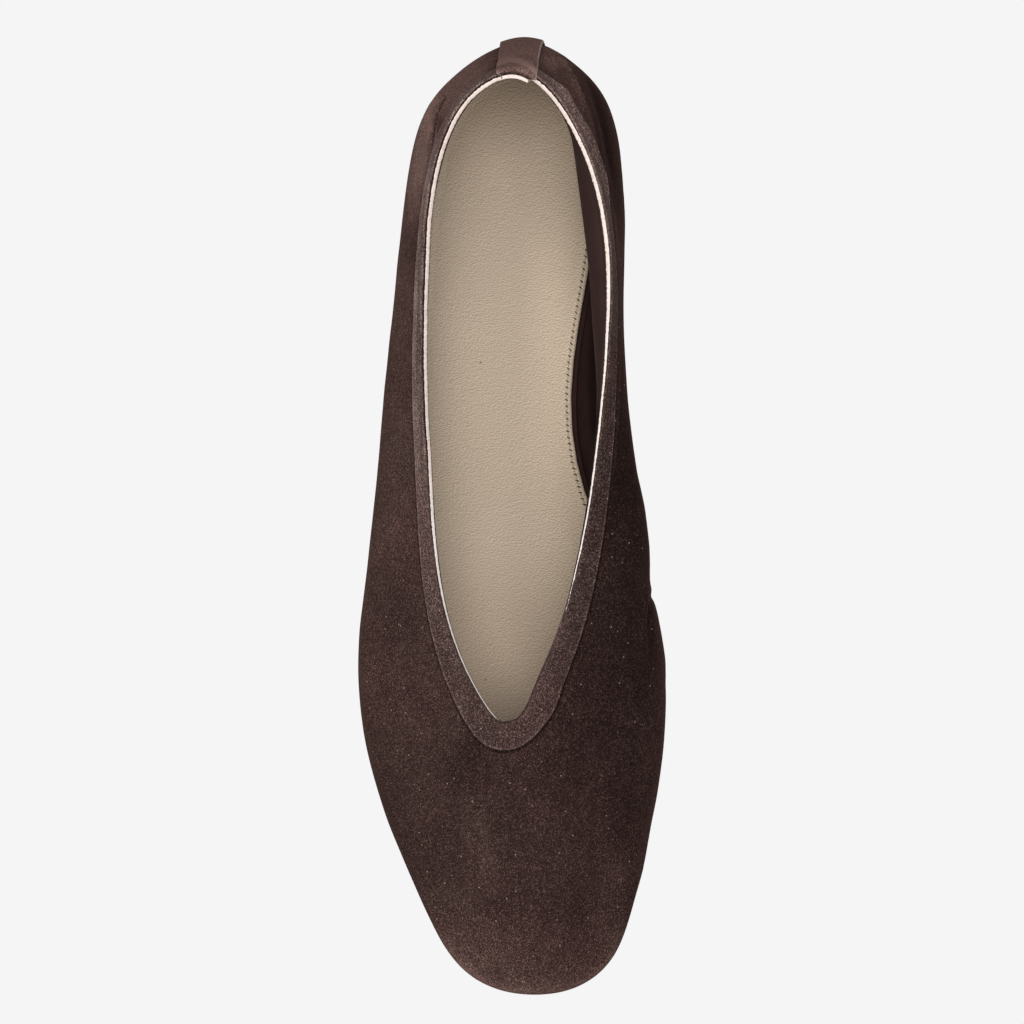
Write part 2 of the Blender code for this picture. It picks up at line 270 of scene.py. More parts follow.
def newMaterial(name):
    # a material and its Object coordinates
    material = bpy.data.materials.new(name)
    material.use_nodes = True
    return material, nodeOf("TexCoord", {}, material.node_tree).outputs["Object"]


def dressed(material, values):
    setSockets(material.node_tree.nodes["Principled BSDF"], values)
    return material


def noiseOn(place, scale, detail=2.0, longer=(1, 1, 1), turn=0.0, shift=(0, 0, 0), distortion=0.0):
    # shifted and turned first, then drawn longer
    turned = {"Vector": place, "Location": shift, "Rotation": (0, 0, turn), "Scale": longer}
    mapped = nodeOf("Mapping", turned, vector_type="TEXTURE").outputs["Vector"]
    waves = {"Vector": mapped, "Scale": scale, "Detail": detail, "Distortion": distortion}
    return nodeOf("TexNoise", waves).outputs["Fac"]


def cellsOn(place, scale, output):
    return nodeOf("TexVoronoi", {"Vector": place, "Scale": scale}).outputs[output]


def weighted(base, *parts):
    # base plus each part's distance from its middle times its weight
    total = base - sum(middle * weight for value, middle, weight in parts)
    for value, middle, weight in parts:
        total = nodeOf("Math", {0: value, 1: weight, 2: total}, operation="MULTIPLY_ADD").outputs[0]
    return total


def timesOf(first, second):
    return nodeOf("Math", {0: first, 1: second}, operation="MULTIPLY").outputs[0]


def between(value, low, high):
    # 0 below low and 1 above high, with a soft change
    span = {"Value": value, "From Min": low, "From Max": high}
    return nodeOf("MapRange", span, interpolation_type="SMOOTHSTEP").outputs["Result"]


def rampOf(value, stops):
    ramp = nodeOf("ValToRGB", {"Fac": value})
    while len(ramp.color_ramp.elements) < len(stops):
        ramp.color_ramp.elements.new(0.5)
    for element, (place, colour) in zip(ramp.color_ramp.elements, stops):
        element.position = place
        element.color = (*colour, 1.0)
    return ramp.outputs["Color"]


def mixOf(blend, first, second, share=1.0):
    colours = {"Factor": share, "A": first, "B": second}
    return nodeOf("Mix", colours, data_type="RGBA", blend_type=blend).outputs["Result"]


def bumpOf(height, distance, strength, under=None):
    values = {"Height": height, "Distance": distance, "Strength": strength}
    if under is not None:
        values["Normal"] = under
    return nodeOf("Bump", values).outputs["Normal"]


def attributeOf(place, name):
    return nodeOf("Attribute", {}, place.id_data, attribute_name=name).outputs["Fac"]


def axisOf(place, axis):
    return nodeOf("SeparateXYZ", {0: place}).outputs[axis]


def ridgeShadeStep(place):
    # painted shade past a ridge: ridgeAt is the distance past it (millimetres), and the second attribute
    # the change
    past = between(attributeOf(place, "ridgeAt"), -0.15, 0.45)
    return timesOf(past, attributeOf(place, "ridgeShadeBy"))


def shadowBesideBand(place):
    # a narrow painted shadow along the topline band's outer edge: pastBand is the distance past it
    # (millimetres)
    past = attributeOf(place, "pastBand")
    near = between(past, -0.15, 0.1)
    far = weighted(1.0, (between(past, 0.3, 1.2), 0.0, -1.0))
    return timesOf(near, far)


suedeLook = {
    # painted shadow beside the topline band
    "shadowBesideBand": -0.22,
    "deep": (0.0085, 0.0045, 0.0042),
    "dark": (0.0238, 0.0135, 0.0119),
    "middle": (0.0447, 0.0259, 0.0224),
    "brushedAndPaintedLight": (0.125, 0.0725, 0.0630),
    "pale": (0.250, 0.1560, 0.1360),
    "longer": (0.7, 1.5, 1.0),
    "sheen": 0.10,
    "sheenTint": (0.62, 0.31, 0.25, 1.0),
}

bandLook = {
    "shadowBesideBand": 0.0,
    "deep": (0.011, 0.0060, 0.0056),
    "dark": (0.037, 0.0222, 0.0196),
    "middle": (0.070, 0.0438, 0.0390),
    "brushedAndPaintedLight": (0.205, 0.1360, 0.1210),
    "pale": (0.380, 0.2800, 0.2550),
    "longer": (0.5, 2.0, 0.8),
    "sheen": 0.06,
    "sheenTint": (0.62, 0.40, 0.35, 1.0),
}

# of both suedes: the shade's middle, how much a lift changes it (from brush marks and from painted light
# and shade), and the specks of lint
napLook = {"shade": 0.36, "lift": 0.28, "lint": (0.36, 0.29, 0.25, 1.0), "lintCells": 330.0}


def suedeMaterial(name, look):
    material, place = newMaterial(name)
    mottle = noiseOn(place, 42.0, 3.0)
    strokes = noiseOn(place, 210.0, 3.0, look["longer"], 0.2)
    nap = noiseOn(place, 2500.0)
    clumps = noiseOn(place, 900.0)
    streaks = weighted(0.0, (noiseOn(place, 1100.0, 2.0, (0.8, 14.0, 1.2)), 0.5, 0.6))
    streaked = timesOf(streaks, attributeOf(place, "streaked"))
    tufts = cellsOn(place, 5200.0, "Color")
    tips = between(tufts, 0.62, 0.95)
    # besides the nap's own textures, the shade takes the painted light and shade of the lift attribute, of
    # the ridges and beside the band
    shade = weighted(napLook["shade"], (mottle, 0.5, 0.18), (strokes, 0.5, 0.14), (nap, 0.5, 0.16),
                     (tufts, 0.5, 0.52), (tips, 0.0, 0.22), (clumps, 0.5, 0.10),
                     (attributeOf(place, "brushedAndPaintedLight"), 0.0, napLook["lift"]),
                     (ridgeShadeStep(place), 0.0, napLook["lift"]), (shadowBesideBand(place), 0.0, look["shadowBesideBand"]),
                     (streaked, 0.0, 1.0))
    colour = rampOf(shade, [(0.10, look["deep"]), (0.32, look["dark"]), (0.49, look["middle"]),
                            (0.78, look["brushedAndPaintedLight"]), (1.0, look["pale"])])
    hue = rampOf(noiseOn(place, 34.0), [(0.35, (0.97, 1.01, 0.99)), (0.65, (1.04, 0.985, 1.0))])
    lint = cellsOn(place, napLook["lintCells"], "Distance")
    lintMask = rampOf(lint, [(0.045, (0.8, 0.8, 0.8)), (0.075, (0, 0, 0))])
    soft = bumpOf(clumps, 0.35 * mm, 0.45)
    return dressed(material, {
        "Base Color": mixOf("MIX", mixOf("MULTIPLY", colour, hue), napLook["lint"], lintMask),
        "Normal": bumpOf(nap, 0.22 * mm, 0.6, soft),
        "Roughness": 1.0, "Specular IOR Level": 0.02,
        "Sheen Weight": look["sheen"], "Sheen Roughness": 0.45, "Sheen Tint": look["sheenTint"]})


cutEdgeLook = {
    # the cream's stops, darker towards its inner side as painted shade
    "cream": [(0.15, (0.36, 0.285, 0.235)), (0.55, (0.70, 0.58, 0.52)), (0.9, (0.86, 0.77, 0.72))],
    "shadowGap": (0.010, 0.0058, 0.0052, 1.0),        # painted shadow beside the cream
    "facing": (0.030, 0.0172, 0.0145, 1.0),     # instead of it on the inner side, along the facing
    "turned": (0.075, 0.0480, 0.0425, 1.0),     # and where the suede is turned over the edge
}


def cutEdgeMaterial():
    # raw cut leather, cream, with painted shade towards its inner side and a painted shadow in the gap at
    # its outer side
    material, place = newMaterial("rawCutEdge")
    across = attributeOf(place, "across")
    fibre = noiseOn(place, 1600.0, 3.0)
    soil = noiseOn(place, 300.0, 3.0)
    # the inner side's darker cream is painted shade
    shade = weighted(0.66, (fibre, 0.5, 0.5), (soil, 0.5, 0.45), (across, 0.35, -0.55))
    ragged = weighted(0.5, (attributeOf(place, "edgeTone"), 0.0, 1.0), (fibre, 0.5, 0.3))
    inside = rampOf(ragged, [(0.49, (0, 0, 0)), (0.53, (1, 1, 1))])
    lined = timesOf(attributeOf(place, "lined"), between(across, 0.4, 0.5))
    beside = mixOf("MIX", cutEdgeLook["shadowGap"], cutEdgeLook["facing"], lined)
    beside = mixOf("MIX", beside, cutEdgeLook["turned"], attributeOf(place, "turned"))
    cream = rampOf(shade, cutEdgeLook["cream"])
    return dressed(material, {"Base Color": mixOf("MIX", beside, cream, inside),
                              "Normal": bumpOf(fibre, 0.2 * mm, 0.4),
                              "Roughness": 0.85, "Specular IOR Level": 0.15})


# heights between which the lining's painted shade under the facing comes in
liningLook = {"paleBelow": 12.2 * mm, "shadedAbove": 14.8 * mm}


def liningMaterial(name, dark, light, lowLift=1.0):
    # thin smooth lining leather; with lowLift it is lighter by that much near the footbed, and higher up
    # its darker tone is painted shade under the facing
    material, place = newMaterial(name)
    cloud = noiseOn(place, 120.0, 3.0)
    grain = noiseOn(place, 1400.0, 3.0)
    shade = weighted(0.5, (cloud, 0.5, 0.7), (grain, 0.5, 0.5))
    colour = rampOf(shade, [(0.2, dark), (0.8, light)])
    if lowLift != 1.0:
        higher = between(axisOf(place, "Z"), liningLook["paleBelow"], liningLook["shadedAbove"])
        paleDark, paleLight = (tuple(lowLift * share for share in tone) for tone in (dark, light))
        pale = rampOf(shade, [(0.2, paleDark), (0.8, paleLight)])
        colour = mixOf("MIX", pale, colour, higher)
    return dressed(material, {"Base Color": colour, "Normal": bumpOf(grain, 0.15 * mm, 0.35),
                              "Roughness": 0.7, "Specular IOR Level": 0.1})


insoleLook = {
    "dark": (0.300, 0.226, 0.158),
    "middle": (0.445, 0.349, 0.256),
    "light": (0.570, 0.462, 0.350),
    "ripple": 2900.0,               # waves to the metre
    "paintedRelief": 3.4,                  # painted light and shade: how much lighter and darker a ripple's sides are
    "longer": (1.35, 1.0, 2.0),     # the ripples are longer across the foot
    "turn": -0.5,
    "lean": (-0.05 * mm, 0.13 * mm, 0),         # from a ripple's painted light side to its painted dark side
    "length": 170 * mm,
    # painted light and shade by share of that length from the heel: its tone is painted shade at the heel
    # and the front, and its warmth painted bounce light from the suede
    "tone": [(0.07, 0.86, 0.14), (0.14, 0.855, 0.07), (0.25, 0.84, 0.02), (0.45, 0.98, 0.0),
             (0.62, 1.0, 0.0), (0.76, 0.97, 0.0), (0.88, 0.87, 0.05), (0.95, 0.90, 0.07)],
    "greenShare": 0.55,             # green loses this share of the painted bounce light's warmth, and blue all of it
    "medialLight": (1.75, 1.75, 1.75, 1.0),           # painted light, by this much towards the medial side
    "medialLightTo": 26 * mm,             # and fully so this far from the middle line
}


def insoleMaterial():
    # beige leather with fine ripples across the foot, their sides with painted light and shade, painted
    # shade at the heel and the front with warm painted bounce light, painted light towards the medial side,
    # and a few pores
    look = insoleLook
    material, place = newMaterial("beigeInsoleLeather")
    cloud = noiseOn(place, 26.0, 3.0)
    ripples = [noiseOn(place, look["ripple"], 1.0, look["longer"], look["turn"], lean, 0.5)
               for lean in ((0, 0, 0), look["lean"])]
    fine = noiseOn(place, 3600.0, 1.0)
    # the ripples' sides get painted light and shade, as if lit from one side
    shade = weighted(0.5, (cloud, 0.5, 0.22), (ripples[0], 0.5, look["paintedRelief"]),
                     (ripples[1], 0.5, -look["paintedRelief"]), (fine, 0.5, 0.2))
    colour = rampOf(shade, [(0.1, look["dark"]), (0.5, look["middle"]), (0.9, look["light"])])
    share = weighted(heelBack / look["length"], (axisOf(place, "Y"), 0.0, -1 / look["length"]))
    tones = [(at, (tone, tone * (1 - look["greenShare"] * bounceWarmth), tone * (1 - bounceWarmth)))
             for at, tone, bounceWarmth in look["tone"]]
    # painted shade and warm bounce light along the shoe
    shadedBeige = mixOf("MULTIPLY", colour, rampOf(share, tones))
    # painted light towards the medial side
    medial = between(axisOf(place, "X"), 0.0, look["medialLightTo"])
    shadedBeige = mixOf("MULTIPLY", shadedBeige, look["medialLight"], medial)
    pores = cellsOn(place, 95.0, "Distance")
    poreMask = rampOf(pores, [(0.018, (0.35, 0.35, 0.35)), (0.03, (1, 1, 1))])
    return dressed(material, {"Base Color": mixOf("MULTIPLY", shadedBeige, poreMask),
                              "Normal": bumpOf(ripples[0], 0.35 * mm, 0.45),
                              "Roughness": 0.55, "Specular IOR Level": 0.3})


soleLook = {"dark": (0.20, 0.115, 0.060), "light": (0.34, 0.21, 0.12)}


def soleMaterial():
    material, place = newMaterial("tanSoleLeather")
    cloud = noiseOn(place, 45.0, 4.0)
    grain = noiseOn(place, 600.0, 4.0)
    shade = weighted(0.5, (cloud, 0.5, 0.9), (grain, 0.5, 0.5))
    colour = rampOf(shade, [(0.2, soleLook["dark"]), (0.8, soleLook["light"])])
    return dressed(material, {"Base Color": colour, "Normal": bumpOf(grain, 0.15 * mm, 0.3),
                              "Roughness": 0.5})


heelLook = {"dark": (0.030, 0.0165, 0.0115), "light": (0.062, 0.0355, 0.0250), "lift": 2.6 * mm}


def heelMaterial():
    # leather lifts stacked one on another, with a thin dark joint between them
    material, place = newMaterial("darkHeelLeather")
    grain = noiseOn(place, 500.0, 4.0, (3.0, 3.0, 0.6))
    colour = rampOf(grain, [(0.3, heelLook["dark"]), (0.7, heelLook["light"])])
    waves = {"Vector": place, "Scale": math.pi / (10 * heelLook["lift"])}        # one wave to a lift
    joints = nodeOf("TexWave", waves, bands_direction="Z").outputs["Fac"]
    joint = rampOf(joints, [(0.01, (0.45, 0.45, 0.45)), (0.06, (1, 1, 1))])
    rough = bumpOf(grain, 0.12 * mm, 0.3)
    return dressed(material, {"Base Color": mixOf("MULTIPLY", colour, joint),
                              "Normal": bumpOf(joint, 0.1 * mm, 0.5, rough),
                              "Roughness": 0.62, "Specular IOR Level": 0.25})


threadLook = {"dark": (0.40, 0.31, 0.22), "light": (0.56, 0.45, 0.34)}


def threadMaterial():
    material, place = newMaterial("insoleThread")
    twist = noiseOn(place, 3000.0)
    colour = rampOf(twist, [(0.3, threadLook["dark"]), (0.7, threadLook["light"])])
    return dressed(material, {"Base Color": colour, "Normal": bumpOf(twist, 0.1 * mm, 0.4),
                              "Roughness": 0.7})


suede = suedeMaterial("darkBrownSuede", suedeLook)
bandSuede = suedeMaterial("brushedBandSuede", bandLook)
cutEdge = cutEdgeMaterial()
lining = liningMaterial("darkLining", (0.008, 0.0036, 0.0032), (0.016, 0.0072, 0.0064), 2.7)
facingLeather = liningMaterial("facingLeather", (0.026, 0.0128, 0.0112), (0.040, 0.0198, 0.0174))
insoleLeather = insoleMaterial()
thread = threadMaterial()
rawSuedeEdge = liningMaterial("rawSuedeEdge", (0.23, 0.163, 0.141), (0.40, 0.296, 0.262))
# the needle holes are dark beads of painted shade
needleHoleShade = liningMaterial("needleHoleShade", (0.060, 0.044, 0.024), (0.110, 0.084, 0.050))
soleLeather = soleMaterial()
heelLeather = heelMaterial()
print("materials ready")


# Creases, brushed patches, and painted light and shade, in millimetres of side and along

outerFace = None         # the upper's outer face before its creases, for laying lines on it
rimLine = None           # points along the topline

# lines are set on the outer face from above, from beyond the medial side, or else from a low height near it
lineSizes = {"beyond": 60, "above": 200 * mm, "low": 12 * mm, "steps": 60, "fadeIn": 0.22, "fadeOut": 0.3}

# depth is a trough's, below 0 it is a ridge; width is half of the soft bell across it; the topline stays
folds = [
    {"name": "medial waist, swell", "from": "medial", "line": [(106, 21), (116, 19), (126, 17), (137, 16)],
     "depth": -0.9, "width": 10.0, "fadeIn": 0.45},
    {"name": "medial fold, hollow", "line": [(36.8, 134.5), (36.9, 139), (37.0, 143.5)],
     "depth": 1.2, "width": 6.0, "fadeIn": 0.6, "fadeOut": 0.3},
    {"name": "medial fold, ridge", "line": [(35.4, 142), (35.0, 147), (34.5, 156), (34.2, 170)],
     "depth": -0.55, "width": 1.3, "fadeIn": 0.4},
    {"name": "medial fold, trough",
     "line": [(36.9, 138), (36.6, 143), (36.3, 149), (36.0, 158), (35.8, 170)],
     "depth": 1.1, "width": 1.6, "fadeIn": 0.26, "fadeOut": 0.5},
    {"name": "ball, swell", "line": [(40.0, 142.5), (40.5, 150), (41.0, 160), (41.0, 170)],
     "depth": -0.55, "width": 5.0, "fadeIn": 0.38},
    {"name": "medial waist, low swell", "from": "medial",
     "line": [(30, 26), (48, 24), (66, 22), (84, 21), (104, 20), (120, 18)], "depth": -0.5, "width": 9.0},
    {"name": "medial heel, ridge",
     "line": [(12.0, 3.4), (14.1, 6.7), (16.4, 10.6), (18.3, 14.9), (20.0, 19.5), (20.9, 25)],
     "depth": -0.5, "width": 1.3},
    {"name": "medial collar, roll",
     "line": [(9.6, 10), (12.4, 14.5), (15.2, 19.6), (19.3, 26.6), (22.1, 34.5), (24.5, 42), (26.3, 50),
              (27.6, 62)], "depth": -1.5, "width": 2.2},
    {"name": "medial heel, drop",
     "line": [(18.6, 9.4), (20.8, 14), (22.4, 19), (24.0, 25), (25.6, 34), (27.4, 44)],
     "depth": 0.6, "width": 2.0},
    {"name": "lateral heel, trough",
     "line": [(-15.4, 13.4), (-17.8, 16.2), (-19.5, 20), (-20.4, 24), (-20.9, 28.7), (-21.9, 35)],
     "depth": 1.05, "width": 1.3},
    {"name": "lateral heel, bulge", "line": [(-18.0, 14), (-22.4, 21), (-24.6, 30), (-26.2, 42)],
     "depth": -0.5, "width": 2.2},
    {"name": "medial toe, swell", "line": [(38.5, 205), (34.5, 222), (30.5, 236), (25.5, 244), (18.0, 250)],
     "depth": -0.65, "width": 8.0, "fadeOut": 0.4},
    {"name": "lateral waist, trough", "line": [(-27.4, 62), (-28.4, 76), (-29.4, 92)],
     "depth": 0.35, "width": 3.0},
    {"name": "vamp, soft trough left", "line": [(-26.0, 150), (-23.0, 166), (-17.0, 184)],
     "depth": 0.3, "width": 4.0},
    {"name": "vamp, soft trough right", "line": [(24.5, 138), (23.6, 152), (20.0, 170)],
     "depth": 0.35, "width": 3.2},
]

# painted shade falls all at once on the outer side of these ridges, fully and then less between the two
# reaches, and painted light lifts their inner side
shadedRidges = [
    {"line": [(11.0, 1.5), (14.1, 6.7), (16.7, 11), (18.5, 14.6), (20.0, 18.8), (21.2, 23), (22.1, 27.2),
              (23.0, 32), (24.8, 38.6), (25.8, 42.4), (27.0, 48), (27.6, 54.5), (28.0, 66)],
     "outside": -1.1, "inside": 0.4, "reach": (9, 27)},
    {"line": [(35.5, 136), (35.4, 141), (35.0, 147), (34.5, 156), (34.2, 172)],
     "outside": -0.3, "inside": 0.15, "reach": (6, 16)},
    {"line": [(27.4, 46), (28.4, 56), (28.7, 66), (28.7, 79), (28.3, 90), (27.4, 105), (26.0, 120),
              (22.8, 136)], "outside": -0.5, "inside": 0.0, "reach": (8, 24)},
    {"line": [(-16.6, 14.4), (-18.6, 17.5), (-20.1, 21.5), (-20.8, 26), (-21.4, 31)],
     "outside": -0.7, "inside": 0.0, "reach": (0.5, 3)},
]
# how they fade at their ends, how far inside them the painted light reaches, and how far below all is
# outside them
edgeSizes = {"fadeIn": 0.15, "fadeOut": 0.22, "litInside": (0.5, 3.5), "below": 4 * mm}

# lift lightens the nap, below 0 it darkens, and the first mark, on the lateral heel's bulge, is a painted
# highlight; sizes are half lengths, turn is in degrees; above is the stretch of heights over which a mark
# comes in
brushMarksAndHighlight = [
    # a painted highlight on the lateral heel's bulge
    {"at": (-24.2, 29), "size": (4.0, 20), "turn": 8, "lift": 1.45, "above": (8, 42)},
    {"at": (-14.0, 12), "size": (7, 13), "turn": 38, "lift": 1.0, "above": (14, 30)},
    {"at": (-27.0, 56), "size": (3.5, 9), "lift": -0.15},
    {"at": (-28.5, 68), "size": (4, 20), "lift": 0.33, "above": (14, 30)},
    {"at": (-30.5, 118), "size": (6, 26), "turn": 5, "lift": 0.25},
    {"at": (-8.0, 212), "size": (4, 13), "turn": -14, "lift": 0.30},
    {"at": (-12.5, 226), "size": (5, 7), "turn": 20, "lift": 0.13},
    {"at": (-8.0, 236), "size": (7, 8), "lift": 0.12},
    {"at": (26.5, 219), "size": (4, 5), "lift": 0.38},
    {"at": (25.0, 230), "size": (5, 7), "turn": 25, "lift": 0.22},
    {"at": (-24.0, 205), "size": (6, 14), "turn": 30, "lift": 0.08},
    {"at": (-12.0, 190), "size": (7, 8), "lift": -0.30},
    {"at": (-31.0, 158), "size": (7, 18), "lift": -0.16},
    {"at": (30.0, 200), "size": (5, 16), "lift": -0.20},
    {"at": (12.0, 190), "size": (12, 14), "lift": -0.14},
    {"at": (16.0, 229), "size": (4, 4), "lift": -0.08},
    {"at": (33.5, 150), "size": (5, 24), "lift": -0.25},
    {"at": (26.5, 40), "size": (4, 26), "turn": -12, "lift": -0.30, "above": (14, 30)},
    {"at": (14.5, 12), "size": (4, 9), "turn": -30, "lift": 0.45, "above": (14, 30)},
    {"at": (10.5, 5), "size": (4.5, 5), "lift": 0.9},
]
# their soft and ragged borders: share of the size, unevenness and its waves to the metre
markSizes = {"reach": 1.35, "ragged": 0.35, "waves": 260.0}

# painted light and shade by how the wall faces: painted shade on the medial wall, painted light on the
# lateral wall and at the toe, and a painted sheen where the toe's wall turns down; lifts by how far the
# wall is turned, with stretches along the shoe and how much each adds or takes
wallLightAndShade = {
    "medial": {"lift": -0.42, "turned": (0.1, 0.7), "heel": (40, 65, 0.85), "heelLeast": 0.15,
               "toe": (165, 200, 0.75)},
    "lateral": {"lift": 0.26, "turned": (0.0, 0.8), "toe": (175, 215, 0.8)},
    "toe": {"all": (205, 245, 0.20), "end": (226, 244, 1.25), "turned": (0.04, 0.44)},
}


def foldLine(fold):
    # sets the fold's corners on the outer face from above or from the medial side, and joins them smoothly
    corners = []
    for first, second in fold["line"]:
        if fold.get("from") == "medial":        # here the pairs are along and height
            beyond = planPoint(lineSizes["beyond"], first) + Vector((0, 0, second * mm))
            corners.append(outerFace.find_nearest(beyond)[0])
            continue
        plan = planPoint(first, second)
        place = outerFace.ray_cast(plan + Vector((0, 0, lineSizes["above"])), Vector((0, 0, -1)))[0]
        if place is None:
            place = outerFace.find_nearest(plan + Vector((0, 0, lineSizes["low"])))[0]
        corners.append(place)
    return np.array(smoothLine(corners, lineSizes["steps"]))


def besideLine(places, line, axes, fadeIn, fadeOut):
    # each place's nearest point of the line, how far that is, and how strong the line is there
    apart = np.linalg.norm(places[:, None, :axes] - line[None, :, :axes], axis=2)
    nearest = apart.argmin(axis=1)
    share = nearest / (len(line) - 1)
    return nearest, apart.min(axis=1), smoothStep(share / fadeIn) * smoothStep((1 - share) / fadeOut)


def fromRim(places):
    # how far each place is from the topline
    return np.array([rimLine.find(place)[2] for place in places])


def creaseShift(places):
    # how far each place moves out of the wall (metres), from all the folds and a gentle unevenness
    shift = np.zeros(len(places))
    belowRim = smoothStep(fromRim(places) / upperSizes["stillRim"])
    for fold in folds:
        fades = [fold.get(fade, lineSizes[fade]) for fade in ("fadeIn", "fadeOut")]
        _, far, strong = besideLine(places, foldLine(fold), 3, *fades)
        bell = np.exp(-(far / (fold["width"] * mm))**2)
        shift -= fold["depth"] * mm * strong * bell * belowRim
    for waves, height, start in upperSizes["uneven"]:
        shift += height * noiseAt(places, waves, start)
    return shift


def brushAndHighlightOf(places):
    # the lift of all the brush marks at each place, with the painted highlight on the lateral heel's bulge
    lift = np.zeros(len(places))
    ragged = markSizes["ragged"] * noiseAt(places, markSizes["waves"])
    for mark in brushMarksAndHighlight:
        turn = math.radians(mark.get("turn", 0))
        side, along = places[:, 0] / mm - mark["at"][0], alongOf(places) - mark["at"][1]
        right = side * math.cos(turn) + along * math.sin(turn)
        down = along * math.cos(turn) - side * math.sin(turn)
        far = np.hypot(right / mark["size"][0], down / mark["size"][1])
        shown = rising(places[:, 2] / mm, *mark["above"]) if "above" in mark else 1.0
        lift += mark["lift"] * smoothStep(markSizes["reach"] - far + ragged) * shown
    return lift


# painted light and shade by which way the wall faces, and a painted sheen at the toe's edge
def paintedWallLight(places, outwards):
    along = alongOf(places)
    medial, lateral, toe = wallLightAndShade["medial"], wallLightAndShade["lateral"], wallLightAndShade["toe"]
    dark = rising(outwards[:, 0], *medial["turned"], medial["lift"]) * (1 - rising(along, *medial["toe"]))
    dark *= medial["heelLeast"] + rising(along, *medial["heel"])
    light = rising(-outwards[:, 0], *lateral["turned"], lateral["lift"])
    light *= 1 - rising(along, *lateral["toe"])
    end = rising(along, *toe["end"]) * rising(1 - outwards[:, 2], *toe["turned"])
    return light + dark + rising(along, *toe["all"]) + end


def ridgeLightAndShade(places):
    # beside each ridge: the soft painted light inside it, the distance past it and the painted shade there
    lift, ridgeAt, ridgeShadeBy = (np.zeros(len(places)) for _ in range(3))
    for edge in shadedRidges:
        line = foldLine(edge)
        nearest, far, strong = besideLine(places, line, 2, edgeSizes["fadeIn"], edgeSizes["fadeOut"])
        far = far / mm
        away = places - line[nearest]
        outside = (away[:, 0] > 0) | (away[:, 2] < -edgeSizes["below"])
        by = edge["outside"] * strong * (1 - rising(np.linalg.norm(away, axis=1) / mm, *edge["reach"]))
        stronger = np.abs(by) > np.abs(ridgeShadeBy)
        ridgeAt = np.where(stronger, np.where(outside, far, -far), ridgeAt)
        ridgeShadeBy = np.where(stronger, by, ridgeShadeBy)
        lift += strong * np.where(outside, 0.0, edge["inside"] * (1 - rising(far, *edgeSizes["litInside"])))
    return lift, ridgeAt, ridgeShadeBy


# Upper: the CAD wall with crisp cut edges, creases, and a brushed nap with painted light and shade

upperSizes = {
    "sharp": math.radians(42),      # between the wall's faces and its cut edges
    "crisp": 0.9,
    "rimAbove": 0.5 * cadHigh.z,    # a cut edge above this is the topline's
    "stillRim": 5.0 * mm,           # the folds grow over this distance from the topline
    "stillSole": 10.0 * mm,         # and over this height from the sole
    "soleSteps": 39,                # stretches along the sole in which its height is read
    # waves to the metre, height and start of its unevenness
    "uneven": [(38.0, 0.34 * mm, (0, 0, 0)), (95.0, 0.14 * mm, (7.0, 3.0, 1.0))],
}

# the cut edge round the opening: stretches along the shoe in millimetres, some with the share of its width
# by which the cream is less there
rimSizes = {
    "middle": 4.0 * mm,             # the lateral side turns into the medial one over this width
    "tip": (150, 170, 0.9),         # and at the tip further to the left, by this much of it
    "waist": (8, 38),
    "front": (131, 167),
    "shadowGap": 0.26,                    # painted shadow on its outer side
    "shadowGapCloses": (105, 140, 0.8),
    "cream": 0.92,                  # how far in the cream reaches
    "waistLess": 0.28,
    "archLess": (58, 88, 0.22),
    "frontLess": 0.50,
    "lateralLess": (105, 140, 0.24),
    "turnedFrom": 0.95,             # past this share of the front the suede is turned over the edge
    "turnedTone": 0.5,
    "slant": -0.11 * mm,            # how far it leans into the opening at the front
    "slantAt": (100, 140),
    "brighter": 1.2,                # painted light on its inner side there
    "lined": (92, 100),             # the facing's end
}

# the opening's tip is rounder on the medial side of its apex: by how much at each place along the shoe
tipSizes = {
    "apex": -2.4,
    "by": [(140, 0.0), (150, 0.4), (165, 0.6), (170, 1.0), (174, 1.8), (177.5, 2.0), (181, 1.2), (190, 0)],
    "from": 1.8,
    "reach": 16.0,
}


def openTip(places):
    side = places[:, 0] / mm - tipSizes["apex"]
    by = np.interp(alongOf(places), *zip(*tipSizes["by"])) * smoothStep(side / tipSizes["from"])
    by *= 1 - smoothStep(fromRim(places) / mm / tipSizes["reach"])
    return places + np.outer(by * mm, (1.0, 0.0, 0.0))


def makeUpper():
    global outerFace, rimLine
    piece = copyOfNode("upper", "suedeUpper", suede, lining, cutEdge, bandSuede)
    outer, inner, *edges = regionsAtSharpEdges(piece, upperSizes["sharp"])
    across = np.zeros(len(piece.data.vertices))
    for i in inner:
        across[list(piece.data.polygons[i].vertices)] = 1.0
    paint(piece, "across", across)
    creaseGroups(piece, [outer, inner, sum(edges, [])], upperSizes["crisp"])
    subdivide(piece, 2)
    paintCutEdge(piece)
    wallFaces = [list(face.vertices) for face in piece.data.polygons if face.material_index == 0]
    topCut = {v for face in piece.data.polygons for v in face.vertices
              if face.material_index > 1 and face.center.z > upperSizes["rimAbove"]}
    rim = sorted(topCut & {v for face in wallFaces for v in face})
    rimLine = searchTree([piece.data.vertices[v].co for v in rim])
    setPoints(piece, openTip(points(piece)))
    rimLine = searchTree([piece.data.vertices[v].co for v in rim])
    outerFace = BVHTree.FromPolygons([vertex.co for vertex in piece.data.vertices], wallFaces)
    return piece


